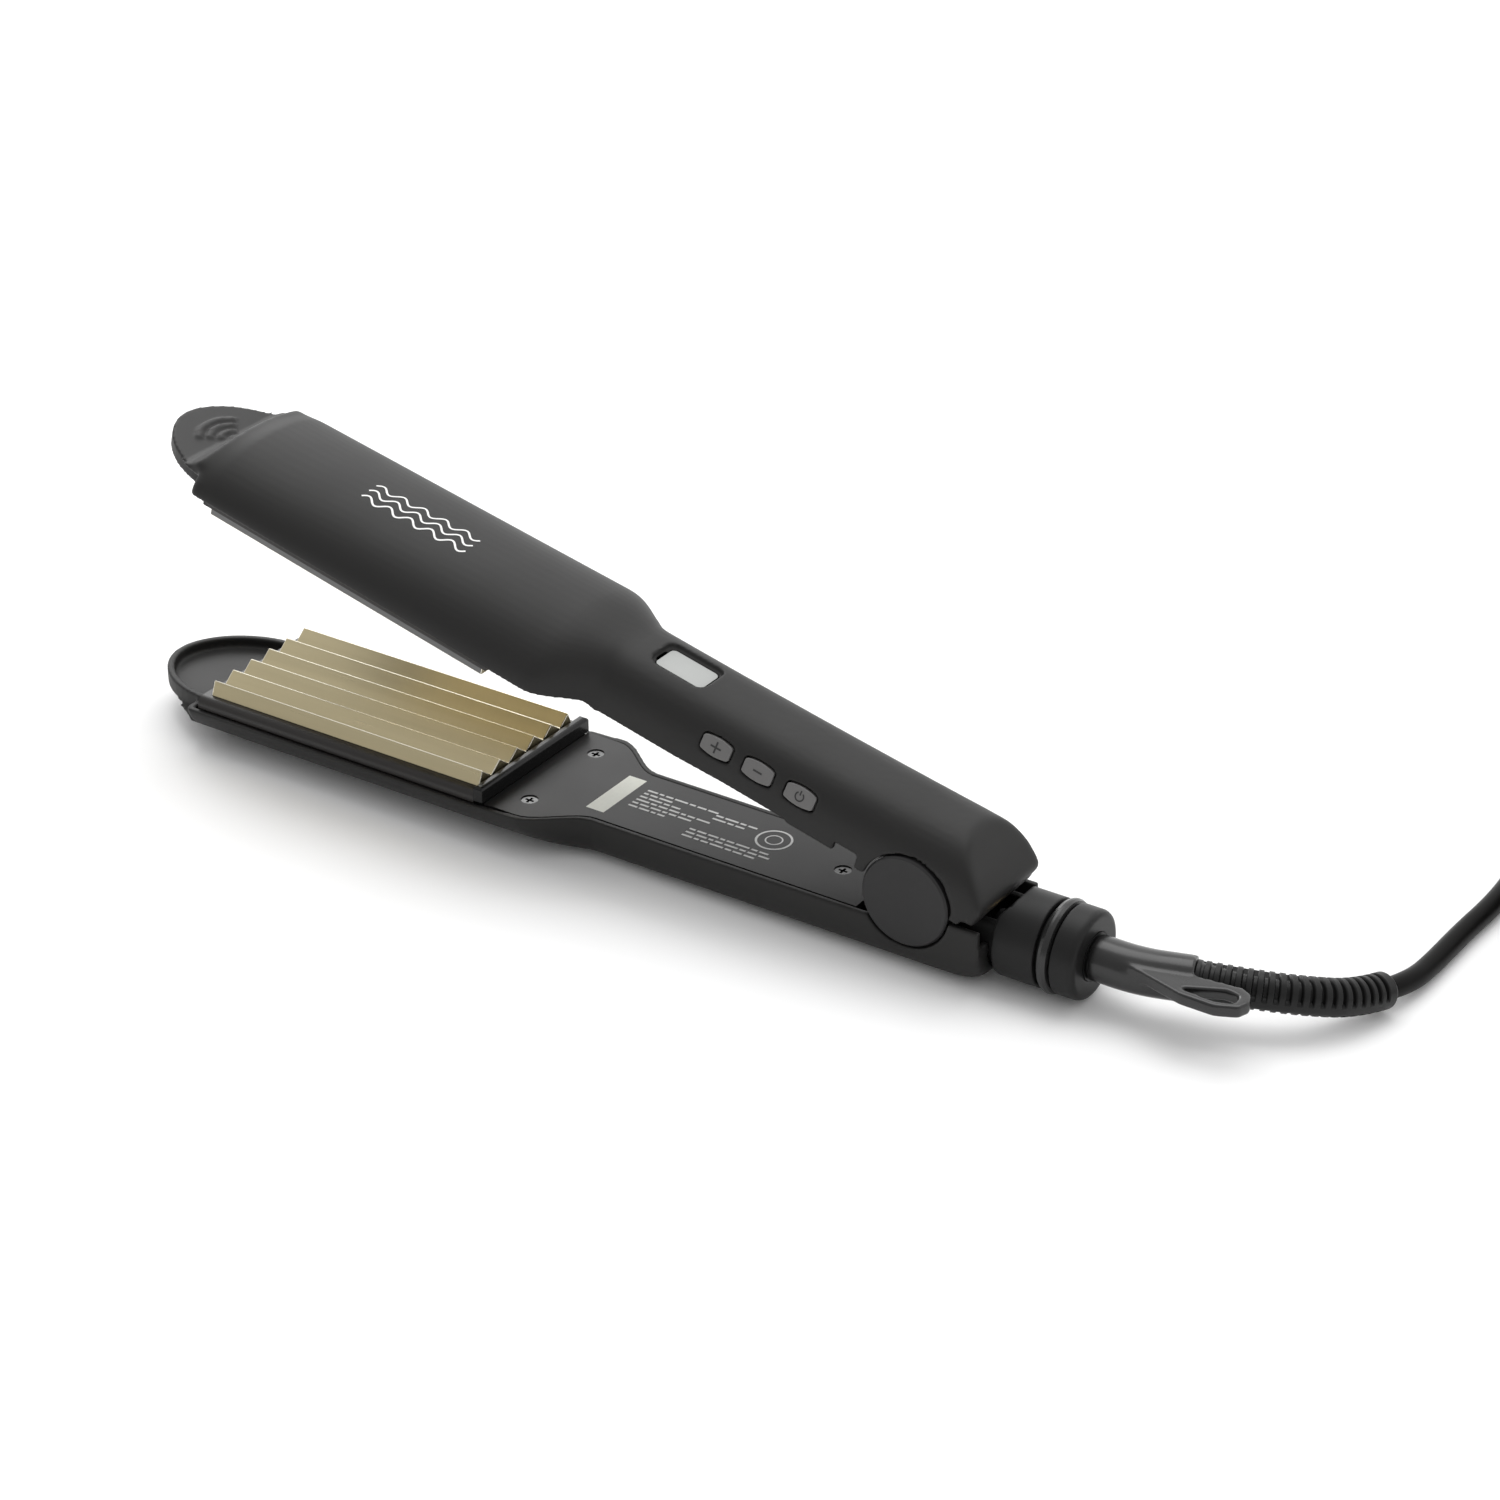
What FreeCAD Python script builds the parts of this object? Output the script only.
import FreeCAD, Part
import Sketcher
import math
import os

# A corded hair crimper, lying open on its lower arm. Millimetres, +Z up.
# The two arms point along -X from the hinge, whose axis is parallel to Y. Every piece is
# drawn about that hinge axis, with the arms shut and parallel, and is then placed: pieces
# of the lower arm by a plain shift, pieces of the upper arm also turned open.

V = FreeCAD.Vector
Rotation = FreeCAD.Rotation
Placement = FreeCAD.Placement
X_AXIS = V(1, 0, 0)
Y_AXIS = V(0, 1, 0)
Z_AXIS = V(0, 0, 1)

doc = FreeCAD.newDocument("HairCrimper")
sheet = doc.addObject("Spreadsheet::Sheet", "Dims")

# Distances called "at" are measured from the hinge axis towards the tip.
# Heights are measured from the hinge axis, drops below it.
DIMENSIONS = {
    "hinge_from_origin": 78.1, "hinge_height": 19.6, "open_angle": 14.0,
    # shells
    "wall": 1.9, "fit_gap": 0.15, "blade_half": 25.0, "handle_half": 15.0,
    "blade_end_at": 221.0, "shoulder_front_at": 111.0, "shoulder_back_at": 93.0,
    "corner_round": 2.2, "lower_depth": 19.6, "lower_rim_drop": 6.9, "blade_rim_drop": 7.6,
    "lower_blade_power": 1.9, "lower_handle_power": 3.2, "lower_back_end": 21.2,
    "heel_bend": 9.0, "heel_rise": 4.5,
    "foot_flat": 0.2,
    "upper_rim_height": 3.4, "blade_rim_height": 4.6, "rim_step_at": 97.6, "rim_step_length": 2.4,
    "front_rim_fall": 0.5, "rim_fall_at": 70.0, "rim_fall_length": 15.0, "blade_crown": 20.45,
    "crown_round_at": 213.0, "crown_round": 0.022,
    "crown_fall": 0.0393, "crown_full_at": 132.0, "handle_crown": 18.85, "handle_rise": 0.00022,
    "handle_low_at": 90.0, "upper_blade_power": 2.0, "upper_handle_power": 2.7,
    "upper_back_end": 21.0,
    # finger tongues at the tip
    "tongue_tip_at": 244.0, "tongue_half": 19.5, "tongue_power": 1.9,
    "upper_tongue_low": 4.0, "upper_tongue_top": 8.0, "tongue_blend": 9.0,
    "lower_tongue_drop": 6.4, "lower_tongue_thick": 4.6, "dish_depth": 3.0, "dish_rim": 2.0,
    "grip_at": 228.0, "grip_width": 1.6, "grip_height": 0.6, "grip_step": 2.9,
    "grip_outer": 10.5, "grip_half_angle": 48.0,
    # crimping plates
    "plate_front_at": 214.8, "plate_length": 90.2, "ridge_pitch": 7.5, "ridge_height": 3.0,
    "lower_crest_drop": 0.23, "lower_flank_half": 20.3, "lower_flank_drop": 4.1,
    "lower_plate_base": 6.5, "upper_plate_half": 22.5, "upper_valley": 0.22,
    "upper_plate_base": 3.4,
    "frame_front_at": 217.2, "frame_back_at": 124.4, "frame_half": 23.4, "frame_foot_half": 21.6,
    "frame_top_drop": 4.2, "frame_edge_round": 2.2, "frame_foot_drop": 10.4,
    "frame_step_drop": 7.4, "frame_end_length": 3.0, "frame_end_drop": 2.6,
    "frame_end_round": 1.1, "frame_lip": 3.0,
    "upper_frame_low": 2.3, "upper_frame_top": 7.0, "upper_frame_half": 22.9,
    # heaters
    "heater_length": 74.0, "heater_width": 16.0, "heater_thick": 2.2, "clip_length": 60.0,
    "clip_thick": 0.6, "clip_width": 16.0, "bead_radius": 1.3, "bead_length": 7.0,
    "fuse_radius": 2.0, "fuse_length": 11.0,
    # inner covers and their screws
    "cover_front_at": 121.2, "cover_back_at": 14.6, "cover_thick": 1.8, "upper_cover_low": 3.9,
    "blade_screw_at": 112.8, "blade_screw_side": 14.6, "hinge_screw_at": 26.6,
    "screw_head_radius": 2.3, "screw_head_depth": 1.3, "screw_shank_radius": 1.2,
    "screw_length": 8.0, "screw_sink": 0.3, "boss_radius": 3.2, "cross_width": 0.7,
    "cross_length": 2.6, "cross_depth": 0.8,
    # hinge
    "cap_radius": 12.13, "cap_recess_radius": 12.6, "cap_face": 14.8, "cap_seat": 12.9,
    "cap_bevel": 0.5, "lug_inner": 9.5, "lug_radius": 12.3, "lug_foot_half": 9.0,
    "pin_radius": 2.0, "pin_clearance": 0.05, "web_outer": 9.2, "web_inner": 7.2,
    "web_radius": 7.0, "cheek_front": 15.3, "cheek_back": 15.0, "heel_low": 2.2,
    "cheek_low": 1.3, "notch_front": 22.0, "notch_height": 5.3, "bump_front": 36.0,
    "bump_low": 2.7, "back_cheek_drop": 2.2, "back_cheek_start": 5.0,
    "spring_radius": 3.6, "spring_wire": 0.9, "spring_turns": 5.0, "spring_leg": 9.5,
    # display
    "display_at": 79.75, "display_length": 14.5, "display_width": 8.6, "display_margin": 1.2,
    "display_top": 17.2, "lens_thick": 1.8, "lcd_length": 13.0, "lcd_width": 7.4,
    "lcd_thick": 2.4, "display_corner": 1.4,
    # buttons
    "button_first_at": 59.7, "button_pitch": 12.65, "button_height": 11.5, "button_tilt": 20.0,
    "button_length": 8.6, "button_end_tall": 3.5, "button_mid_tall": 4.9, "button_gap": 0.35,
    "button_face_reach": 14.1, "button_depth": 4.4, "button_flange": 0.6, "button_travel": 0.8,
    "button_stem": 1.6, "button_corner": 0.7,
    "board_length": 58.0, "board_width": 12.0, "board_thick": 1.6, "board_low": 7.4,
    "board_back_at": 33.0, "board_side": -4.0,
    "switch_size": 3.0, "switch_depth": 2.4, "strip_length": 36.0, "strip_height": 5.0,
    "strip_thick": 1.0,
    # cord swivel, on an axis of its own below the hinge axis
    "swivel_drop": 7.5, "neck_radius": 11.5, "neck_start": 22.6, "neck_end": 34.0,
    "neck_bore": 8.0, "spigot_radius": 9.6, "spigot_start": 14.0, "spigot_flat": 5.4,
    "ring_start": 35.0, "ring_end": 38.0, "ring_radius": 12.1, "ring_inner": 10.2,
    "ring_round": 1.2, "collar_start": 38.5, "collar_end": 45.0, "collar_bore": 6.2,
    "collar_round": 1.4, "vent_radius": 1.3, "vent_side": 4.6, "neck_bevel": 4.0,
    "core_radius": 6.15, "core_flange_radius": 7.6, "core_flange_start": 30.5,
    "core_flange_end": 33.5, "core_end": 45.1, "core_nose_radius": 4.2, "core_nose_start": 18.5,
    "core_bore": 2.9, "slip_radius": 5.4, "slip_width": 2.0, "slip_first": 21.0,
    "slip_second": 26.0, "brush_gap": 0.05, "brush_width": 3.0, "brush_length": 1.6,
    "guard_radius": 5.85, "loop_low": 0.5, "loop_thick": 3.4,
    # cord
    "cord_diameter": 5.6, "relief_core_radius": 3.7, "relief_rib_radius": 5.0,
    "relief_rib_fall": 0.3, "relief_rib_width": 1.5, "relief_ribs": 20.0,
    "coil_turn_radius": 32.0, "coil_columns": 3.0, "coil_layers": 4.0,
    "tie_width": 12.0, "tie_thick": 1.0,
    "plug_length": 34.0, "plug_width": 26.0, "plug_height": 13.7, "plug_round": 3.0,
    "plug_neck_radius": 4.4, "plug_neck_length": 14.0, "plug_pin_radius": 2.0,
    "plug_pin_length": 19.0, "plug_pin_side": 9.3,
}


def fill_sheet():
    for row, (alias, number) in enumerate(DIMENSIONS.items(), start=1):
        sheet.set("A%d" % row, alias)
        sheet.set("B%d" % row, str(number))
        sheet.setAlias("B%d" % row, alias)
    doc.recompute()


def value(alias):
    return float(sheet.get(alias))


def bind(made, **cells):
    """Tie properties of a document object to sheet cells."""
    for prop, cell in cells.items():
        made.setExpression(prop, cell if "Dims." in cell else "Dims." + cell)


fill_sheet()
HINGE = V(value("hinge_from_origin"), 0, value("hinge_height"))
LOWER = Placement(HINGE, Rotation())
UPPER = Placement(HINGE, Rotation(Y_AXIS, value("open_angle")))
SWIVEL = Placement(HINGE + V(0, 0, -value("swivel_drop")), Rotation())
subparts = []


# ---------------------------------------------------------------- helpers

def at(x, y, z):
    return Placement(V(x, y, z), Rotation())


def keep(made, label, place):
    """Name a finished sub-part and put it where its arm is."""
    made.Label = label
    made.Placement = place.multiply(made.Placement)
    subparts.append(made)
    return made


def feature(label, shape, place):
    """A sub-part whose shape is worked out here from the sheet's cells."""
    made = doc.addObject("Part::Feature", label)
    made.Shape = shape
    return keep(made, label, place)


def block(name, length, width, height, corner):
    made = doc.addObject("Part::Box", name)
    bind(made, Length=length, Width=width, Height=height)
    made.Placement = at(*corner)
    return made


def rod(name, radius, length, start, along):
    made = doc.addObject("Part::Cylinder", name)
    bind(made, Radius=radius, Height=length)
    made.Placement = Placement(V(*start), Rotation(Z_AXIS, along))
    return made


def joined(name, pieces):
    made = doc.addObject("Part::MultiFuse", name)
    made.Shapes = pieces
    return made


def minus(name, base, tool):
    made = doc.addObject("Part::Cut", name)
    made.Base = base
    made.Tool = tool
    return made


def plane(body, role):
    for item in body.Origin.OriginFeatures:
        if item.Role == role:
            return item
    raise ValueError("no plane " + role)


def signed(term):
    """A sketch coordinate as a number and an expression; a text term names a cell."""
    if not isinstance(term, str):
        return float(term), None
    if term.startswith("-"):
        return -value(term[1:]), "-Dims." + term[1:]
    return value(term), "Dims." + term


def outline(body, role, points):
    """A closed outline of straight edges whose corners are tied to sheet cells."""
    sketch = body.newObject("Sketcher::SketchObject", body.Name + "Outline")
    sketch.AttachmentSupport = [(plane(body, role), "")]
    sketch.MapMode = "FlatFace"
    terms = [(signed(u), signed(v)) for u, v in points]
    corners = [V(u[0], v[0], 0) for u, v in terms]
    for first, second in zip(corners, corners[1:] + corners[:1]):
        sketch.addGeometry(Part.LineSegment(first, second), False)
    count = len(corners)
    for index in range(count):
        sketch.addConstraint(Sketcher.Constraint("Coincident", index, 2, (index + 1) % count, 1))
    for index, (u, v) in enumerate(terms):
        for kind, (number, expression) in (("DistanceX", u), ("DistanceY", v)):
            made = sketch.addConstraint(Sketcher.Constraint(kind, -1, 1, index, 1, number))
            if expression:
                sketch.setExpression("Constraints[%d]" % made, expression)
    return sketch


def turned(name, profile):
    """A piece turned about the swivel axis; the profile gives distance along it and radius."""
    body = doc.addObject("PartDesign::Body", name)
    sketch = outline(body, "XZ_Plane", profile)
    spin = body.newObject("PartDesign::Revolution", name + "Turn")
    spin.Profile = sketch
    spin.ReferenceAxis = (sketch, ["H_Axis"])
    spin.Angle = 360
    body.Tip = spin
    return body


def slab(low, high, left, right, bottom, top):
    """A plain box solid between two distances along the arm, used to trim shells."""
    corner = V(-high, left, bottom)
    return Part.makeBox(high - low, right - left, top - bottom, corner)


def disc(radius, near, far):
    """A cylinder about the hinge axis between two sideways places."""
    return Part.makeCylinder(radius, far - near, V(0, near, 0), Y_AXIS)


def both_sides(near, far, make):
    return make(near, far).fuse(make(-far, -near))


# ---------------------------------------------------------------- arm shells

def s_curve(distance, start, length):
    """0 up to a start, 1 past its length, an S curve between."""
    share = min(1.0, max(0.0, (distance - start) / length))
    return share * share * (3.0 - 2.0 * share)


def shoulder(distance):
    """0 on the slim handle, 1 on the wide blade."""
    back = value("shoulder_back_at")
    return s_curve(distance, back, value("shoulder_front_at") - back)


def mix(low, high, share):
    return low + (high - low) * share


def half_width(distance):
    """Half the arm's width, with the blade's end corners rounded in plan."""
    half = mix(value("handle_half"), value("blade_half"), shoulder(distance))
    rounding = value("corner_round")
    beyond = distance - (value("blade_end_at") - rounding)
    if beyond > 0:
        half -= rounding - math.sqrt(max(0.0, rounding ** 2 - beyond ** 2))
    return half


def lower_section(distance):
    """Half width, rim height, bottom height and roundness of the lower arm."""
    share = shoulder(distance)
    rim = -value("blade_rim_drop") if distance > value("cover_front_at") else -value("lower_rim_drop")
    bottom = -value("lower_depth") - value("foot_flat")
    bend = value("heel_bend")
    beyond = -distance - (value("lower_back_end") - bend)
    if beyond > 0:
        bottom += value("heel_rise") * (1.0 - math.sqrt(max(0.0, 1.0 - (beyond / bend) ** 2)))
    power = mix(value("lower_handle_power"), value("lower_blade_power"), share)
    return half_width(distance), rim, bottom, power


def upper_section(distance):
    """Half width, rim height, crown height and roundness of the upper arm."""
    share = shoulder(distance)
    step = value("rim_step_length")
    fall = value("rim_fall_length")
    handle_rim = value("upper_rim_height") - value("front_rim_fall") * s_curve(
        distance, value("rim_fall_at") - fall, fall)
    rim = mix(handle_rim, value("blade_rim_height"), s_curve(distance, value("rim_step_at") - step, step))
    handle = value("handle_crown") + value("handle_rise") * (value("handle_low_at") - distance) ** 2
    blade = value("blade_crown") - value("crown_fall") * (distance - value("crown_full_at"))
    blade -= value("crown_round") * max(0.0, distance - value("crown_round_at")) ** 2
    power = mix(value("upper_handle_power"), value("upper_blade_power"), share)
    return half_width(distance), rim, mix(handle, blade, share), power


def section_wire(distance, half, rim, crown, power):
    """A superellipse arch from rim to rim, closed by a straight line."""
    count = 24
    points = []
    for index in range(count + 1):
        turn = math.pi * index / count
        side = -math.copysign(abs(math.cos(turn)) ** (2.0 / power), math.cos(turn))
        rise = abs(math.sin(turn)) ** (2.0 / power)
        points.append(V(-distance, half * side, rim + (crown - rim) * rise))
    points[0] = V(-distance, -half, rim)
    points[-1] = V(-distance, half, rim)
    arch = Part.BSplineCurve()
    arch.interpolate(Points=points, Parameters=[float(index) for index in range(count + 1)])
    return Part.Wire([arch.toShape(), Part.LineSegment(points[-1], points[0]).toShape()])


def arm_solid(section, inset, first, last):
    """The arm's outer form, or its hollow when inset, between two distances."""
    stops = [first]
    marks = [218.8, 219.6, 220.3, 220.8, 215, 200, 180, 160, 140, 125, 111.5, 109.5, 107.5, 105.5, 103.5,
             101.5, 99.5, 97.6, 96.4, 95.2, 93.5, 90, 80, 70, 62, 55, 50, 35, 20, 5, -8, -14, -17, -19]
    stops += [mark for mark in sorted(marks, reverse=True) if last < mark < first]
    stops.append(last)
    wires = []
    for stop in stops:
        half, rim, crown, power = section(stop)
        inward = inset if crown > rim else -inset
        wires.append(section_wire(stop, half - inset, rim, crown - inward, power))
    return Part.makeLoft(wires, True, True)


def tongue_outline(shrink, height):
    """The tongue's plan edge: a superellipse from the blade's end to the tip."""
    start = value("blade_end_at") - 2.0
    reach = value("tongue_tip_at") - start - shrink
    half = value("tongue_half") - shrink
    count = 24
    points = []
    for index in range(count + 1):
        turn = math.pi * index / count
        side = math.copysign(abs(math.cos(turn)) ** (2.0 / value("tongue_power")), math.cos(turn))
        out = abs(math.sin(turn)) ** (2.0 / value("tongue_power"))
        points.append(V(-start - reach * out, half * side, height))
    points[0] = V(-start, half, height)
    points[-1] = V(-start, -half, height)
    edge = Part.BSplineCurve()
    edge.interpolate(points)
    line = Part.LineSegment(points[-1], points[0]).toShape()
    return Part.Face(Part.Wire([edge.toShape(), line]))


def tongue_plate(shrink, low, top):
    return tongue_outline(shrink, low).extrude(V(0, 0, top - low))


def tongue_blend(section, height, rise):
    """The hollow fillet that runs from the tongue's flat up to the blade's end."""
    end = value("blade_end_at")
    reach = value("tongue_blend")
    top = height + rise
    start = V(-end + 1.0, 0, height)
    corner = V(-end - reach, 0, height)
    upper = V(-end, 0, top)
    back = V(-end + 1.0, 0, top)
    middle = V(-end - reach * 0.29, 0, height + rise * 0.29)
    curve = Part.Arc(corner, middle, upper).toShape()
    edges = [Part.LineSegment(start, corner).toShape(), curve,
             Part.LineSegment(upper, back).toShape(), Part.LineSegment(back, start).toShape()]
    half = value("blade_half")
    face = Part.Face(Part.Wire(edges))
    face.translate(V(0, -half, 0))
    wedge = face.extrude(V(0, 2 * half, 0))
    crown = section_wire(end - value("corner_round"), *section(end - value("corner_round")))
    arch = Part.Face(crown).extrude(V(-2 * reach, 0, 0))
    low = min(height, top) - 1.0
    plan = tongue_plate(-1.5, low, low + abs(rise) + 2.0)
    return wedge.common(arch).common(plan)


def screw_places():
    """Plan places of an arm's three cover screws."""
    front = -value("blade_screw_at")
    side = value("blade_screw_side")
    return [V(front, -side, 0), V(front, side, 0), V(-value("hinge_screw_at"), 0, 0)]


def screw_bosses(cover_under, shell_depth):
    """Posts that take the cover screws, from the cover down into the shell."""
    posts = []
    for place in screw_places():
        reach = shell_depth - cover_under
        post = Part.makeCylinder(value("boss_radius"), abs(reach), V(place.x, place.y, cover_under),
                                 Z_AXIS if reach > 0 else -Z_AXIS)
        posts.append(post)
    return posts


def screw_bores(cover_face, inward):
    """Holes for the cover screws' shanks, inward being +1 or -1 along Z."""
    length = value("screw_length") + value("screw_sink")
    return [Part.makeCylinder(value("screw_shank_radius"), length,
                              V(place.x, place.y, cover_face), V(0, 0, inward))
            for place in screw_places()]


def lower_shell():
    end = value("blade_end_at")
    back = value("lower_back_end")
    wall = value("wall")
    outer = arm_solid(lower_section, 0, end, -back)
    drop = value("back_cheek_drop")
    rim = value("lower_rim_drop")
    half = value("handle_half")
    for side in (-1, 1):
        near = min(side * half, side * (half - wall))
        cheek = slab(-back + 0.4, -value("back_cheek_start"), near, near + wall, -rim - 2, -drop)
        outer = outer.fuse(cheek)
    hollow = arm_solid(lower_section, wall, end - wall, -back + wall)
    shell = outer.cut(hollow)
    shell = shell.cut(slab(-back + wall, -value("back_cheek_start") + 12, -half + wall,
                           half - wall, -rim - 1, 0))
    top = -value("lower_tongue_drop")
    low = top - value("lower_tongue_thick")
    tongue = tongue_plate(0, low, top)
    tongue = tongue.cut(tongue_plate(value("dish_rim"), top - value("dish_depth"), top + 1))
    fillet = tongue_blend(lower_section, low + 0.2, -(value("lower_depth") + low + 0.6))
    tip = tongue.fuse(fillet).cut(slab(0, end - wall, -30, 30, -25, 0))
    shell = shell.fuse(tip)
    foot = value("lug_foot_half")
    lug_in = value("lug_inner")
    seat = value("cap_seat")
    for side in (-1, 1):
        near = min(side * lug_in, side * (seat + 0.4))
        post = slab(-foot, foot, near, near + seat + 0.4 - lug_in, -value("lower_depth") + 1, 0)
        lug = post.common(arm_solid(lower_section, 0.5, 40, -16).fuse(
            slab(-foot, foot, -half, half, -rim - 0.5, 0)))
        near = min(side * lug_in, side * seat)
        shell = shell.fuse(lug).fuse(disc(value("lug_radius"), near, near + seat - lug_in))
    under = -value("lower_rim_drop") - value("cover_thick")
    inside = arm_solid(lower_section, 0.6, end - 3, -back + 6)
    for post in screw_bosses(under, -value("lower_depth") + 0.8):
        shell = shell.fuse(post.common(inside))
    for bore in screw_bores(-rim - 1, -1):
        shell = shell.cut(bore)
    recess = both_sides(seat, half + 2, lambda near, far: disc(value("cap_recess_radius"), near, far))
    shell = shell.cut(recess)
    shell = shell.cut(disc(value("pin_radius"), -half, half))
    spigot = Part.makeCylinder(value("spigot_radius"), 20, V(value("spigot_start"), 0,
                               -value("swivel_drop")), X_AXIS)
    shell = shell.cut(spigot)
    shell = shell.cut(slab(-30, 250, -30, 30, -value("lower_depth") - 5, -value("lower_depth")))
    feature("lower_shell", shell, LOWER)


def back_profile():
    """Side view of everything above the upper arm's slanted rear face."""
    points = [(-5.0, 30.0), (-5.0, 21.6), (-9.0, 19.9), (-15.3, 14.4), (-19.8, 9.2), (-20.0, 7.6),
              (-18.8, 5.6), (-18.8, -5.0), (-40.0, -5.0), (-40.0, 30.0)]
    corners = [V(-a, -30, b) for a, b in points]
    face = Part.Face(Part.makePolygon(corners + corners[:1]))
    return face.extrude(V(0, 60, 0))


def button_frame(index):
    """Where a button stands: its cap faces out sideways and a little up."""
    tilt = math.radians(value("button_tilt"))
    outward = V(0, -math.cos(tilt), math.sin(tilt))
    reach = value("button_face_reach")
    place = V(-(value("button_first_at") - index * value("button_pitch")), 0, value("button_height"))
    origin = V(place.x, -reach, place.z)
    turn = Rotation(X_AXIS, X_AXIS.cross(outward) * -1, outward, "ZXY")
    return Placement(origin, turn)


def button_prism(grow, low, high):
    """A button's outline, its long edges bowed, between two depths below its face."""
    half = value("button_length") / 2 + grow
    end = value("button_end_tall") / 2 + grow
    middle = value("button_mid_tall") / 2 + grow
    edges = [Part.Arc(V(-half, end, 0), V(0, middle, 0), V(half, end, 0)).toShape(),
             Part.LineSegment(V(half, end, 0), V(half, -end, 0)).toShape(),
             Part.Arc(V(half, -end, 0), V(0, -middle, 0), V(-half, -end, 0)).toShape(),
             Part.LineSegment(V(-half, -end, 0), V(-half, end, 0)).toShape()]
    face = Part.Face(Part.Wire(edges))
    face.translate(V(0, 0, low))
    prism = face.extrude(V(0, 0, high - low))
    upright = [edge for edge in prism.Edges
               if len(edge.Vertexes) == 2 and abs(edge.tangentAt(edge.FirstParameter).z) > 0.99]
    return prism.makeFillet(value("button_corner"), upright)


def grip_ribs():
    """Raised arcs on the upper tongue, one inside the other."""
    ribs = []
    radius = value("grip_outer")
    half = value("grip_half_angle")
    for index in range(4):
        outer = radius - index * value("grip_step")
        inner = outer - value("grip_width")
        centre = V(-value("grip_at") + 1.5, 0, value("upper_tongue_top") - 0.5)
        height = value("grip_height") + 0.5
        ring = Part.makeCylinder(outer, height, centre, Z_AXIS, 2 * half)
        if inner > 0:
            ring = ring.cut(Part.makeCylinder(inner, height, centre, Z_AXIS, 360))
        ring.rotate(centre, Z_AXIS, 180 - half)
        ribs.append(ring)
    return ribs


def upper_shell():
    end = value("blade_end_at")
    back = value("upper_back_end")
    wall = value("wall")
    half = value("handle_half")
    outer = arm_solid(upper_section, 0, end, -back)
    rim = value("upper_rim_height")
    for side in (-1, 1):
        near = min(side * half, side * (half - wall))
        cheek = slab(0, value("cheek_front"), near, near + wall, value("cheek_low"), rim + 2)
        heel = slab(-value("cheek_back"), 0, near, near + wall, value("heel_low"), rim + 2)
        bump = slab(value("notch_front"), value("bump_front"), near, near + wall,
                    value("bump_low"), rim + 1)
        outer = outer.fuse(cheek).fuse(heel).fuse(bump)
    hollow = arm_solid(upper_section, wall, end - wall, -back + 2 * wall + 1)
    nose = back_profile()
    inner_nose = nose.copy()
    inner_nose.translate(V(-wall * 0.9, 0, -wall * 0.9))
    shell = outer.cut(nose).cut(hollow.cut(inner_nose))
    shell = shell.cut(slab(value("cheek_front"), value("notch_front"), -half - 1, half + 1, 0,
                           value("notch_height")))
    shell = shell.cut(slab(-back + wall + 2, value("cheek_front"), -half + wall, half - wall, -5,
                           rim + 0.4))
    low = value("upper_tongue_low")
    top = value("upper_tongue_top")
    fillet = tongue_blend(upper_section, top - 0.2, 10.5)
    tip = tongue_plate(0, low, top).fuse(fillet).cut(slab(0, end - wall, -30, 30, 0, 30))
    for rib in grip_ribs():
        tip = tip.fuse(rib)
    shell = shell.fuse(tip)
    web_r = value("web_radius")
    for side in (-1, 1):
        near = min(side * value("web_inner"), side * value("web_outer"))
        far = near + value("web_outer") - value("web_inner")
        web = disc(web_r, near, far).fuse(slab(-web_r, web_r, near, far, 0, 19)
                                         .common(arm_solid(upper_section, 0.7, 40, -14)
                                                 .fuse(slab(-web_r, web_r, near, far, 0, 6))))
        shell = shell.fuse(web)
    inside = arm_solid(upper_section, 0.6, end - 3, -10)
    over = value("upper_cover_low") + value("cover_thick")
    for post in screw_bosses(over, 20.0):
        shell = shell.fuse(post.common(inside))
    for bore in screw_bores(value("upper_cover_low") + 1, 1):
        shell = shell.cut(bore)
    clear = both_sides(value("lug_inner") - 0.2, half + 2,
                       lambda near, far: disc(value("cap_recess_radius"), near, far))
    shell = shell.cut(clear)
    shell = shell.cut(disc(value("pin_radius") + value("pin_clearance"), -half, half))
    shell = shell.cut(display_hole())
    for index in range(3):
        hole = button_prism(value("button_gap"), -8, 4)
        hole.Placement = button_frame(index)
        shell = shell.cut(hole)
    feature("upper_shell", shell, UPPER)


def rounded_bar(length, width, low, high, corner):
    """A rounded rectangle standing between two heights, centred on the display."""
    bar = Part.makeBox(length, width, high - low, V(-value("display_at") - length / 2, -width / 2, low))
    upright = [edge for edge in bar.Edges if abs(edge.tangentAt(edge.FirstParameter).z) > 0.99]
    return bar.makeFillet(corner, upright)


def display_hole():
    """The display's window, with a shallow recess round it."""
    length = value("display_length")
    width = value("display_width")
    margin = value("display_margin")
    corner = value("display_corner")
    recess = rounded_bar(length + 2 * margin, width + 2 * margin, value("display_top"), 25,
                         corner + margin)
    window = rounded_bar(length, width, 10, 25, corner)
    return recess.fuse(window)


def inner_cover(label, section, low, place, face_level, inward):
    """The flat cover that closes the handle's hollow, cut for its three screws."""
    fit = value("wall") + value("fit_gap")
    hollow = arm_solid(section, fit, value("cover_front_at"), value("cover_back_at"))
    top = low + value("cover_thick")
    cover = hollow.common(slab(0, 200, -30, 30, low, top))
    for spot in screw_places():
        start = V(spot.x, spot.y, face_level)
        way = V(0, 0, inward)
        depth = value("screw_head_depth") + value("screw_sink")
        cover = cover.cut(Part.makeCylinder(value("screw_head_radius"), depth, start, way))
        cover = cover.cut(Part.makeCylinder(value("screw_shank_radius"), 4, start, way))
    feature(label, cover.removeSplitter(), place)


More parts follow.
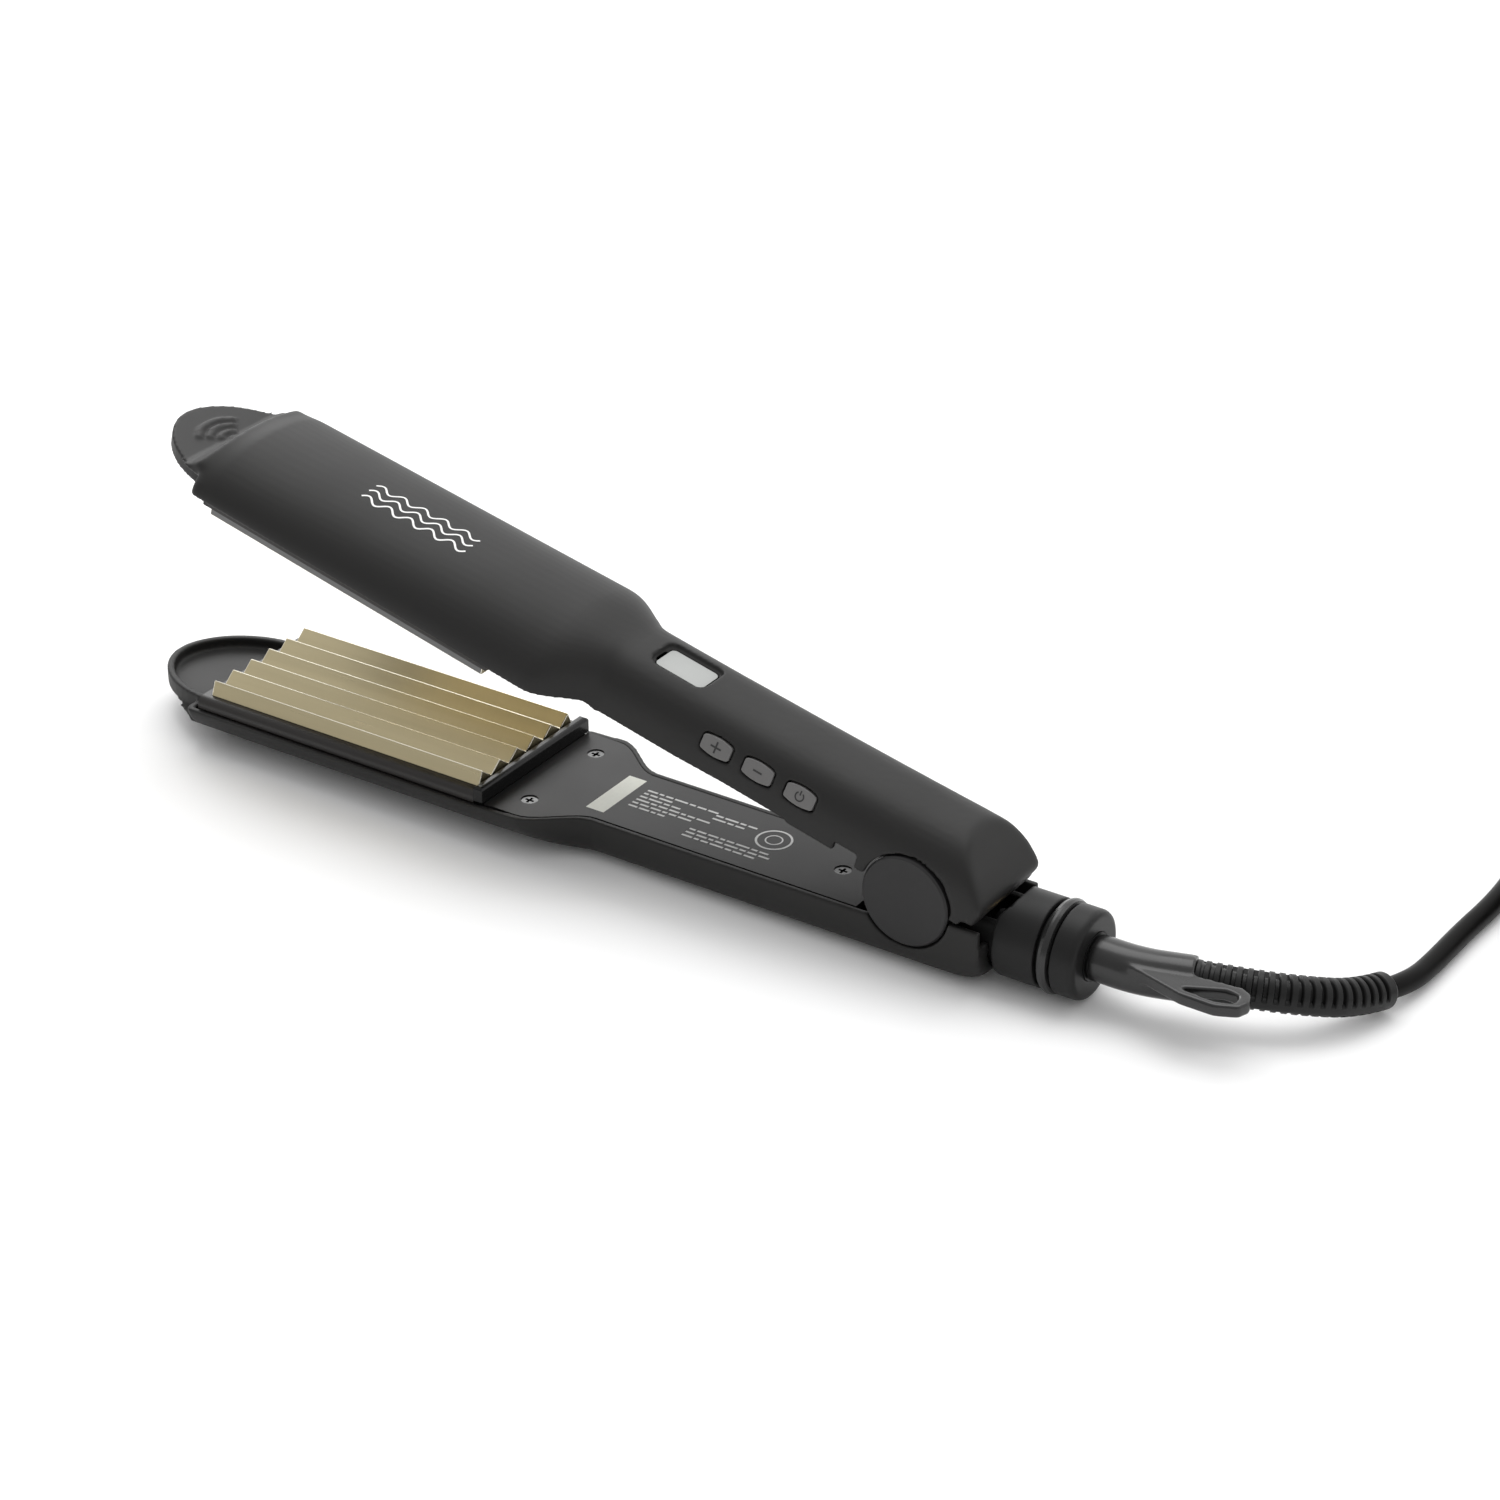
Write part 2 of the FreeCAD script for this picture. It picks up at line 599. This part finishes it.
def cover_screws(label, place, face_level, inward):
    """Three alike screws with cross heads, sunk just below the cover's face."""
    screws = []
    for spot in screw_places():
        way = V(0, 0, inward)
        start = V(spot.x, spot.y, face_level) + way * value("screw_sink")
        head = Part.makeCylinder(value("screw_head_radius"), value("screw_head_depth"), start, way)
        shank = Part.makeCylinder(value("screw_shank_radius"), value("screw_length"), start, way)
        screw = head.fuse(shank)
        long = value("cross_length")
        wide = value("cross_width")
        deep = value("cross_depth")
        low = start.z if inward > 0 else start.z - deep
        for size_x, size_y in ((long, wide), (wide, long)):
            slot = Part.makeBox(size_x, size_y, deep, V(spot.x - size_x / 2, spot.y - size_y / 2, low))
            screw = screw.cut(slot)
        screws.append(screw)
    feature(label, Part.makeCompound(screws), place)


# ---------------------------------------------------------------- plates and heat

def crimp_plate(label, place, points):
    """A ridged plate: its end-on outline drawn in a sketch and padded along the arm."""
    body = doc.addObject("PartDesign::Body", label)
    sketch = outline(body, "YZ_Plane", points)
    pad = body.newObject("PartDesign::Pad", label + "Pad")
    pad.Profile = sketch
    bind(pad, Length="plate_length")
    body.Tip = pad
    body.Placement = at(-value("plate_front_at"), 0, 0)
    keep(body, label, place)


def lower_plate_points():
    """Six sharp crests, and flanks that drop past the frame."""
    pitch = value("ridge_pitch")
    crest = -value("lower_crest_drop")
    valley = crest - value("ridge_height")
    flank = value("lower_flank_half")
    points = [("-lower_flank_half", "-lower_plate_base"), (-flank, -value("lower_flank_drop"))]
    for index in range(-5, 6):
        level = crest if index % 2 else valley
        points.append((index * pitch / 2, level))
    points += [(flank, -value("lower_flank_drop")), ("lower_flank_half", "-lower_plate_base")]
    return points


def upper_plate_points():
    """Five crests that point down, between two flat lands."""
    pitch = value("ridge_pitch")
    valley = value("upper_valley")
    crest = valley - value("ridge_height")
    points = [("-upper_plate_half", "upper_plate_base"), ("-upper_plate_half", "upper_valley")]
    for index in range(-5, 6):
        level = valley if index % 2 else crest
        points.append((index * pitch / 2, level))
    points += [("upper_plate_half", "upper_valley"), ("upper_plate_half", "upper_plate_base")]
    return points


def lower_plate_frame():
    """The carrier round the lower plate, with a rounded flange above the shell's rim."""
    front = value("frame_front_at")
    back = value("frame_back_at")
    half = value("frame_half")
    step = -value("frame_step_drop")
    flange = slab(back, front, -half, half, step, -value("frame_top_drop"))
    upper_edges = [edge for edge in flange.Edges
                   if min(point.Z for point in edge.Vertexes) > step + 1
                   and abs(edge.tangentAt(edge.FirstParameter).x) > 0.99]
    flange = flange.makeFillet(value("frame_edge_round"), upper_edges)
    foot_half = value("frame_foot_half")
    foot = slab(back + 1, front - 1, -foot_half, foot_half, -value("frame_foot_drop"), step)
    plate_half = value("lower_flank_half") + 0.05
    plate_front = value("plate_front_at")
    plate_back = plate_front - value("plate_length")
    frame = flange.fuse(foot)
    base = -value("lower_plate_base")
    frame = frame.cut(slab(plate_back, plate_front, -plate_half, plate_half, base, 2))
    lip = value("frame_lip")
    frame = frame.cut(slab(plate_back + lip, plate_front - lip, lip - plate_half, plate_half - lip,
                           -value("frame_foot_drop") - lip, base))
    feature("lower_plate_frame", frame.removeSplitter(), LOWER)


def lower_frame_end():
    """The glossy bar that stands behind the lower plate."""
    back = value("frame_back_at")
    length = value("frame_end_length")
    half = value("frame_half")
    bar = slab(back - length, back, -half, half, -value("frame_foot_drop"), -value("frame_end_drop"))
    rounding = value("frame_end_round")
    edges = [edge for edge in bar.Edges
             if min(point.Z for point in edge.Vertexes) > -value("frame_end_drop") - rounding]
    bar = bar.makeFillet(rounding, edges)
    fit = arm_solid(lower_section, value("wall") + value("fit_gap"), back + length, back - 3 * length)
    above = slab(back - 3 * length, back + length, -half, half,
                 -value("lower_rim_drop") + value("fit_gap"), 0)
    core_half = value("frame_foot_half")
    core = slab(back - length, back, -core_half, core_half, -value("frame_foot_drop"), 0)
    kept = bar.common(fit).fuse([bar.common(above), bar.common(core)])
    feature("lower_frame_end", kept.removeSplitter(), LOWER)


def upper_plate_frame():
    """The carrier that holds the upper plate inside the shell's rim."""
    front = value("frame_front_at")
    back = value("frame_back_at") - 1.0
    half = value("upper_frame_half")
    low = value("upper_frame_low")
    frame = slab(back, front, -half, half, low, value("upper_frame_top"))
    plate_half = value("upper_plate_half") + 0.05
    plate_front = value("plate_front_at")
    plate_back = plate_front - value("plate_length")
    base = value("upper_plate_base")
    frame = frame.cut(slab(plate_back, plate_front, -plate_half, plate_half, low - 3, base))
    frame = frame.cut(slab(plate_back + 3, plate_front - 3, -plate_half + 3, plate_half - 3, base, 9))
    hollow = arm_solid(upper_section, value("wall") + 0.1, front, back)
    below = slab(back, front, -half, half, low, value("blade_rim_height"))
    frame = frame.common(hollow.fuse(below))
    feature("upper_plate_frame", frame.removeSplitter(), UPPER)


def heat_parts(side, place, base, way):
    """A flat heater under a plate, the spring clip that presses it and its sensor bead."""
    middle = -value("plate_front_at") + value("plate_length") / 2
    thick = value("heater_thick")
    low = base if way > 0 else base - thick
    heater = block(side + "HeaterBlock", "heater_length", "heater_width", "heater_thick",
                   (middle - value("heater_length") / 2, -value("heater_width") / 2, low))
    keep(heater, side + "_heater", place)
    clip_thick = value("clip_thick")
    low = base + thick if way > 0 else base - thick - clip_thick
    clip = block(side + "ClipBlock", "clip_length", "clip_width", "clip_thick",
                 (middle - value("clip_length") / 2, -value("clip_width") / 2, low))
    keep(clip, side + "_heater_clip", place)
    radius = value("bead_radius")
    level = base + way * radius
    bead = rod(side + "Bead", "bead_radius", "bead_length",
               (middle - 3, value("heater_width") / 2 + radius + 0.3, level), 0)
    bead.Placement = Placement(V(middle - 3, value("heater_width") / 2 + radius + 0.3, level),
                               Rotation(Y_AXIS, 90))
    keep(bead, side + "_thermistor", place)


def thermal_fuse():
    middle = -value("plate_front_at") + value("plate_length") / 2
    level = value("upper_plate_base") + value("fuse_radius")
    fuse = rod("FuseRod", "fuse_radius", "fuse_length", (middle, 0, level), 0)
    side = -value("heater_width") / 2 - value("fuse_radius") - 0.3
    fuse.Placement = Placement(V(middle - 4, side, level), Rotation(Y_AXIS, 90))
    keep(fuse, "thermal_fuse", UPPER)


# ---------------------------------------------------------------- hinge

def hinge_pin():
    pin = doc.addObject("Part::Cylinder", "HingePinRod")
    bind(pin, Radius="pin_radius", Height="Dims.cap_seat * 2")
    pin.Placement = Placement(V(0, value("cap_seat"), 0), Rotation(X_AXIS, 90))
    keep(pin, "hinge_pin", LOWER)


def hinge_cap(label, side):
    """A round cover over each end of the pin, its outer edge bevelled."""
    body = doc.addObject("PartDesign::Body", label)
    sketch = outline(body, "XZ_Plane", [(0, "cap_seat"), ("cap_radius", "cap_seat"),
                                        ("cap_radius", value("cap_face") - value("cap_bevel")),
                                        (value("cap_radius") - value("cap_bevel"), "cap_face"),
                                        (0, "cap_face")])
    spin = body.newObject("PartDesign::Revolution", label + "Turn")
    spin.Profile = sketch
    spin.ReferenceAxis = (sketch, ["V_Axis"])
    spin.Angle = 360
    body.Tip = spin
    body.Placement = Placement(V(0, 0, 0), Rotation(X_AXIS, -90 * side))
    keep(body, label, LOWER)


def opening_spring():
    """A torsion spring wound round the pin, one leg under each arm."""
    radius = value("spring_radius")
    wire = value("spring_wire")
    pitch = wire * 1.25
    turns = value("spring_turns")
    length = pitch * turns
    rings = []
    for index in range(int(turns)):
        ring = Part.makeTorus(radius, wire / 2 * 1.3, V(0, -length / 2 + pitch * (index + 0.5), 0), Y_AXIS)
        rings.append(ring)
    coil = rings[0].multiFuse(rings[1:])
    leg = value("spring_leg")
    for end, drop in ((-1, -1), (1, 1)):
        start = V(0, end * (length - pitch) / 2, drop * radius)
        way = V(-1, 0, drop * 0.12)
        coil = coil.fuse(Part.makeCylinder(wire / 2, leg, start, way))
    feature("opening_spring", coil, LOWER)


# ---------------------------------------------------------------- display, board and buttons

def display_parts():
    top = value("display_top")
    fit = 0.05
    thick = value("lens_thick")
    lens = rounded_bar(value("display_length") - 2 * fit, value("display_width") - 2 * fit,
                       top - thick, top, value("display_corner"))
    feature("display_lens", lens, UPPER)
    lcd = block("LcdBlock", "lcd_length", "lcd_width", "lcd_thick",
                (-value("display_at") - value("lcd_length") / 2, -value("lcd_width") / 2,
                 top - thick - value("lcd_thick")))
    keep(lcd, "lcd_module", UPPER)


def control_board():
    board = block("BoardBlock", "board_length", "board_width", "board_thick",
                  (-value("board_back_at") - value("board_length"), value("board_side"),
                   value("board_low")))
    keep(board, "control_board", UPPER)


def button_board():
    """The narrow board that stands behind the three switches."""
    depth = switch_face() + value("switch_depth") + value("strip_thick")
    strip = block("StripBlock", "strip_length", "strip_height", "strip_thick",
                  (-value("strip_length") / 2, -value("strip_height") / 2, -depth))
    strip.Placement = button_frame(1).multiply(strip.Placement)
    keep(strip, "button_board", UPPER)


def switch_face():
    """How far below a button's face its switch begins."""
    return value("button_depth") + 1.0 + value("button_travel") + 0.1


def buttons():
    """Three caps that slide in along their own face normal, each onto a small switch."""
    switches = []
    depth = value("button_depth")
    flange = value("button_flange")
    for index, name in enumerate(("plus_button", "minus_button", "power_button")):
        frame = button_frame(index)
        cap = button_prism(0, -depth, 0)
        skirt = button_prism(flange, -depth, -depth + 1.0)
        cap = cap.fuse(skirt)
        stem = Part.makeCylinder(value("button_stem"), 1.0, V(0, 0, -depth - 1.0), Z_AXIS)
        cap = cap.fuse(stem)
        cap.Placement = frame
        feature(name, cap, UPPER)
        size = value("switch_size")
        top = -switch_face()
        switch = Part.makeBox(size, size, value("switch_depth"),
                              V(-size / 2, -size / 2, top - value("switch_depth")))
        switch.Placement = frame
        switches.append(switch)
    feature("tact_switches", Part.makeCompound(switches), UPPER)


# ---------------------------------------------------------------- cord swivel

def swivel_housing():
    """The neck that stands out of the handle's end, bored for the swivel."""
    neck = turned("NeckTurned", [("spigot_start", "neck_bore"), ("neck_end", "neck_bore"),
                                 ("neck_end", "neck_radius"), ("neck_start", "neck_radius"),
                                 ("neck_start", "spigot_radius"), ("spigot_start", "spigot_radius")])
    start = value("spigot_start") - 1
    flat = doc.addObject("Part::Box", "NeckFlat")
    bind(flat, Length="Dims.neck_start - Dims.spigot_start + 1", Width="Dims.neck_radius * 3",
         Height="neck_radius")
    flat.Placement = at(start, -value("neck_radius") * 1.5, value("spigot_flat"))
    bevel = doc.addObject("Part::Box", "NeckBevel")
    bind(bevel, Length="neck_bevel", Width="Dims.neck_radius * 3", Height="Dims.neck_bevel * 3")
    bevel.Placement = Placement(V(value("neck_start") - 3.4, -value("neck_radius") * 1.5,
                                  value("neck_radius") - 1.5), Rotation(Y_AXIS, 38))
    vents = []
    for side in (-1, 1):
        vent = rod("NeckVent%d" % (side + 2), "vent_radius", "neck_bevel", (0, 0, 0), 0)
        vent.Placement = Placement(V(value("neck_start") + 1.6, side * value("vent_side"),
                                     value("neck_radius") - 4.2), Rotation(Y_AXIS, -15))
        vents.append(vent)
    tools = joined("NeckTools", [flat, bevel] + vents)
    keep(minus("NeckCut", neck, tools), "swivel_housing", SWIVEL)


def swivel_collar():
    """The end collar, whose spigot carries the soft ring."""
    body = turned("CollarTurned", [("neck_end", "collar_bore"), ("collar_end", "collar_bore"),
                                   ("collar_end", value("neck_radius") - value("collar_round")),
                                   (value("collar_end") - value("collar_round") * 0.3,
                                    value("neck_radius") - value("collar_round") * 0.3),
                                   (value("collar_end") - value("collar_round"), "neck_radius"),
                                   ("collar_start", "neck_radius"), ("collar_start", "ring_inner"),
                                   ("neck_end", "ring_inner")])
    keep(body, "swivel_collar", SWIVEL)


def swivel_ring():
    """The soft ring in the groove between neck and collar."""
    start = value("ring_start")
    end = value("ring_end")
    top = value("ring_radius")
    bend = value("ring_round")
    body = turned("RingTurned", [("ring_start", "ring_inner"), ("ring_end", "ring_inner"),
                                 ("ring_end", top - bend), (end - bend * 0.3, top - bend * 0.3),
                                 (end - bend, "ring_radius"), (start + bend, "ring_radius"),
                                 (start + bend * 0.3, top - bend * 0.3), ("ring_start", top - bend)])
    keep(body, "swivel_ring", SWIVEL)


def swivel_core():
    """The hollow journal that turns in the collar and keeps the cord from pulling out."""
    body = turned("CoreTurned", [("core_nose_start", "core_bore"), ("core_end", "core_bore"),
                                 ("core_end", "core_radius"), ("core_flange_end", "core_radius"),
                                 ("core_flange_end", "core_flange_radius"),
                                 ("core_flange_start", "core_flange_radius"),
                                 ("core_flange_start", "core_nose_radius"),
                                 ("core_nose_start", "core_nose_radius")])
    keep(body, "swivel_core", SWIVEL)


def slip_rings():
    rings = []
    for place in ("slip_first", "slip_second"):
        outer = Part.makeCylinder(value("slip_radius"), value("slip_width"), V(value(place), 0, 0), X_AXIS)
        inner = Part.makeCylinder(value("core_nose_radius"), value("slip_width"),
                                  V(value(place), 0, 0), X_AXIS)
        rings.append(outer.cut(inner))
    feature("slip_rings", Part.makeCompound(rings), SWIVEL)


def brush_contacts():
    """Two spring contacts that rub on the slip rings."""
    low = value("slip_radius") + value("brush_gap")
    height = value("neck_bore") - low - 0.2
    width = value("brush_width")
    length = value("brush_length")
    brushes = []
    for place in ("slip_first", "slip_second"):
        start = value(place) + value("slip_width") / 2 - length / 2
        brushes.append(Part.makeBox(length, width, height, V(start, -width / 2, -low - height)))
    feature("brush_contacts", Part.makeCompound(brushes), SWIVEL)


def cord_guard():
    """The moulded sleeve on the cord's end, with a flat hanging loop beside it."""
    path = rounded_path(route_points(GUARD_ROUTE))
    sleeve = tube(path, value("guard_radius"))
    low = value("loop_low") - value("swivel_drop")
    thick = value("loop_thick")
    plan = [(50.0, -3.6), (60.0, -5.6), (72.0, -9.0), (81.0, -9.2), (86.6, -6.6), (87.8, -3.2),
            (86.4, 0.2), (83.6, 1.8), (72.0, 0.6), (60.0, -1.0)]
    hole = [(70.5, -6.3), (80.0, -7.1), (84.6, -5.6), (84.2, -1.8), (80.5, -1.4)]
    loop = flat_solid(plan, low, thick).cut(flat_solid(hole, low - 1, thick + 2))
    relief = tube(rounded_path(route_points(RELIEF_ROUTE)), value("relief_rib_radius") + 0.05)
    guard = sleeve.fuse(loop.cut(relief)).cut(tube(path, value("core_bore")))
    feature("cord_guard", guard, LOWER)


def flat_solid(plan, low, thick):
    corners = [V(x, y, low) for x, y in plan]
    face = Part.Face(Part.makePolygon(corners + corners[:1]))
    return face.extrude(V(0, 0, thick))


# ---------------------------------------------------------------- cord, coil and plug

# The strain relief's axis and the cord's route: along the floor from the hinge axis, and up.
GUARD_ROUTE = [(45.1, 0.0, 12.1), (57.0, 0.0, 12.1), (70.0, 4.0, 12.2)]
RELIEF_ROUTE = [(70.0, 4.0, 12.2), (82.5, 7.8, 11.9), (94.0, 14.5, 10.4), (102.0, 25.0, 7.0),
                (105.0, 35.0, 5.2)]
CORD_ROUTE = [(105.0, 35.0, 5.2), (107.6, 43.7, 3.6), (108.2, 56.0, 2.8), (108.3, 73.0, 2.8),
              (109.4, 92.0, 2.8), (108.0, 110.5, 2.8), (104.9, 127.0, 2.8), (103.1, 139.5, 2.8)]
TAIL_ROUTE = [(178.1, 145.5, 19.6), (178.1, 134.5, 19.0), (177.2, 123.5, 15.2), (174.8, 112.5, 9.6),
              (172.4, 101.5, 6.85), (172.4, 90.5, 6.85)]
COIL_CENTRE = (140.5, 145.5)


def route_points(route):
    drop = V(0, 0, -value("hinge_height"))
    return [V(*point) + drop for point in route]


def rounded_path(points):
    """Straight runs joined by arcs, each as large as its two runs allow."""
    edges = []
    start = points[0]
    for before, corner, after in zip(points, points[1:], points[2:]):
        first = (corner - before).normalize()
        second = (after - corner).normalize()
        turn = first.getAngle(second)
        cut = 0.45 * min((corner - before).Length, (after - corner).Length)
        print("radius %.1f" % (cut / math.tan(turn / 2)))
        enter = corner - first * cut
        leave = corner + second * cut
        bisector = (second - first).normalize()
        radius = cut / math.tan(turn / 2)
        centre = corner + bisector * (radius / math.cos(turn / 2))
        middle = centre - bisector * radius
        edges.append(Part.LineSegment(start, enter).toShape())
        edges.append(Part.Arc(enter, middle, leave).toShape())
        start = leave
    edges.append(Part.LineSegment(start, points[-1]).toShape())
    return Part.Wire(edges)


def tube(path, radius):
    """A round bar along a path, its volume compared with section times length."""
    first = path.Edges[0]
    start = first.valueAt(first.FirstParameter)
    ring = Part.Wire(Part.makeCircle(radius, start, first.tangentAt(first.FirstParameter)))
    solid = path.makePipeShell([ring], True, True)
    solid = Part.Solid(solid) if solid.ShapeType != "Solid" else solid
    expected = math.pi * radius ** 2 * path.Length
    print("tube length %.1f, volume ratio %.4f" % (path.Length, solid.Volume / expected))
    return solid


def bend_relief():
    """A tapering ribbed sleeve that leads the cord out in a gentle bend."""
    path = rounded_path(route_points(RELIEF_ROUTE))
    solid = tube(path, value("relief_core_radius"))
    count = int(value("relief_ribs"))
    width = value("relief_rib_width")
    step = path.Length / count
    stations = path.discretize(Number=count * 10 + 1)
    for index in range(count):
        spot = stations[index * 10 + 5]
        way = (stations[index * 10 + 6] - stations[index * 10 + 4]).normalize()
        radius = value("relief_rib_radius") - value("relief_rib_fall") * index / (count - 1)
        solid = solid.fuse(Part.makeCylinder(radius, width, spot - way * width / 2, way))
    print("rib step %.2f" % step)
    feature("bend_relief", solid, LOWER)


def power_cord():
    """The lead from the relief to the coil, and the short tail from the coil to the plug."""
    radius = value("cord_diameter") / 2
    lead = tube(rounded_path(route_points(CORD_ROUTE)), radius)
    tail = tube(rounded_path(route_points(TAIL_ROUTE)), radius)
    feature("power_cord", Part.makeCompound([lead, tail]), LOWER)


def floor_point(x, y, height=0.0):
    return V(x, y, height - value("hinge_height"))


def cord_coil():
    """The outer form of the wound cord: a flat ring with rounded edges."""
    diameter = value("cord_diameter")
    inner = value("coil_turn_radius") - value("coil_columns") * diameter / 2
    outer = value("coil_turn_radius") + value("coil_columns") * diameter / 2
    height = value("coil_layers") * diameter
    ring = Part.makeCylinder(outer, height).cut(Part.makeCylinder(inner, height))
    ring = ring.makeFillet(diameter / 2 - 0.1, [edge for edge in ring.Edges if edge.Closed])
    ring.translate(floor_point(*COIL_CENTRE))
    feature("cord_coil", ring, LOWER)


def cord_tie():
    """A strap round the coil's turns on the side away from the hinge."""
    diameter = value("cord_diameter")
    across = value("coil_columns") * diameter
    height = value("coil_layers") * diameter
    thick = value("tie_thick")
    width = value("tie_width")
    middle = value("coil_turn_radius")
    strap = Part.makeBox(width, across + 2 * thick, height + thick,
                         V(-width / 2, middle - across / 2 - thick, 0))
    along = [edge for edge in strap.Edges if abs(edge.tangentAt(edge.FirstParameter).x) > 0.99]
    strap = strap.makeFillet(diameter / 2, along)
    hole = Part.makeBox(width, across, height - thick, V(-width / 2, middle - across / 2, thick))
    along = [edge for edge in hole.Edges if abs(edge.tangentAt(edge.FirstParameter).x) > 0.99]
    strap = strap.cut(hole.makeFillet(diameter / 2 - thick, along))
    strap.translate(floor_point(*COIL_CENTRE))
    feature("cord_tie", strap, LOWER)


def plug_place():
    """The plug points back along -Y from the end of the cord's tail."""
    end = TAIL_ROUTE[-1]
    return LOWER.multiply(Placement(floor_point(*end), Rotation(Z_AXIS, -90)))


def plug_body():
    """A flat two-pin plug with a tapered neck, moulded onto the cord."""
    body = block("PlugBlock", "plug_length", "plug_width", "plug_height",
                 (value("plug_neck_length"), -value("plug_width") / 2, -value("plug_height") / 2))
    rounded = doc.addObject("Part::Fillet", "PlugRounded")
    doc.recompute()
    rounded.Base = body
    rounding = value("plug_round")
    rounded.Edges = [(index, rounding, rounding) for index in range(1, len(body.Shape.Edges) + 1)]
    neck = doc.addObject("Part::Cone", "PlugNeck")
    bind(neck, Radius1="Dims.cord_diameter / 2 + 0.4", Radius2="plug_neck_radius",
         Height="Dims.plug_neck_length + 1")
    neck.Placement = Placement(V(0, 0, 0), Rotation(Y_AXIS, 90))
    keep(joined("PlugJoined", [rounded, neck]), "plug_body", plug_place())


def plug_pins():
    pins = []
    start = value("plug_neck_length") + value("plug_length")
    radius = value("plug_pin_radius")
    for side in (-1, 1):
        spot = V(start, side * value("plug_pin_side"), 0)
        pin = Part.makeCylinder(radius, value("plug_pin_length") - radius, spot, X_AXIS)
        tip = Part.makeSphere(radius, spot + V(value("plug_pin_length") - radius, 0, 0))
        pins.append(pin.fuse(tip))
    feature("plug_pins", Part.makeCompound(pins), plug_place())


# ---------------------------------------------------------------- build and write

def build():
    lower_face = -value("lower_rim_drop")
    upper_face = value("upper_cover_low")
    lower_shell()
    inner_cover("lower_inner_cover", lower_section, lower_face - value("cover_thick"), LOWER,
                lower_face, -1)
    cover_screws("lower_cover_screws", LOWER, lower_face, -1)
    lower_plate_frame()
    lower_frame_end()
    crimp_plate("lower_crimp_plate", LOWER, lower_plate_points())
    heat_parts("lower", LOWER, -value("lower_plate_base"), -1)
    upper_shell()
    inner_cover("upper_inner_cover", upper_section, upper_face, UPPER, upper_face, 1)
    cover_screws("upper_cover_screws", UPPER, upper_face, 1)
    upper_plate_frame()
    crimp_plate("upper_crimp_plate", UPPER, upper_plate_points())
    heat_parts("upper", UPPER, value("upper_plate_base"), 1)
    thermal_fuse()
    hinge_pin()
    hinge_cap("hinge_cap_near", -1)
    hinge_cap("hinge_cap_far", 1)
    opening_spring()
    display_parts()
    control_board()
    button_board()
    buttons()
    swivel_housing()
    swivel_collar()
    swivel_ring()
    swivel_core()
    slip_rings()
    brush_contacts()
    cord_guard()
    bend_relief()
    power_cord()
    cord_coil()
    cord_tie()
    plug_body()
    plug_pins()


def check_and_write():
    """Stop on any failed object, then write each sub-part to its own file."""
    doc.recompute()
    for made in doc.Objects:
        if "Invalid" in made.State or "Error" in made.State:
            raise RuntimeError("failed object: " + made.Name)
    os.makedirs("parts", exist_ok=True)
    for made in subparts:
        shape = made.Shape
        if shape.isNull() or not shape.isValid():
            raise RuntimeError("bad shape: " + made.Label)
        print("%-20s solids %d volume %9.1f" % (made.Label, len(shape.Solids), shape.Volume))
        shape.exportStep(os.path.join("parts", made.Label + ".step"))


build()
check_and_write()
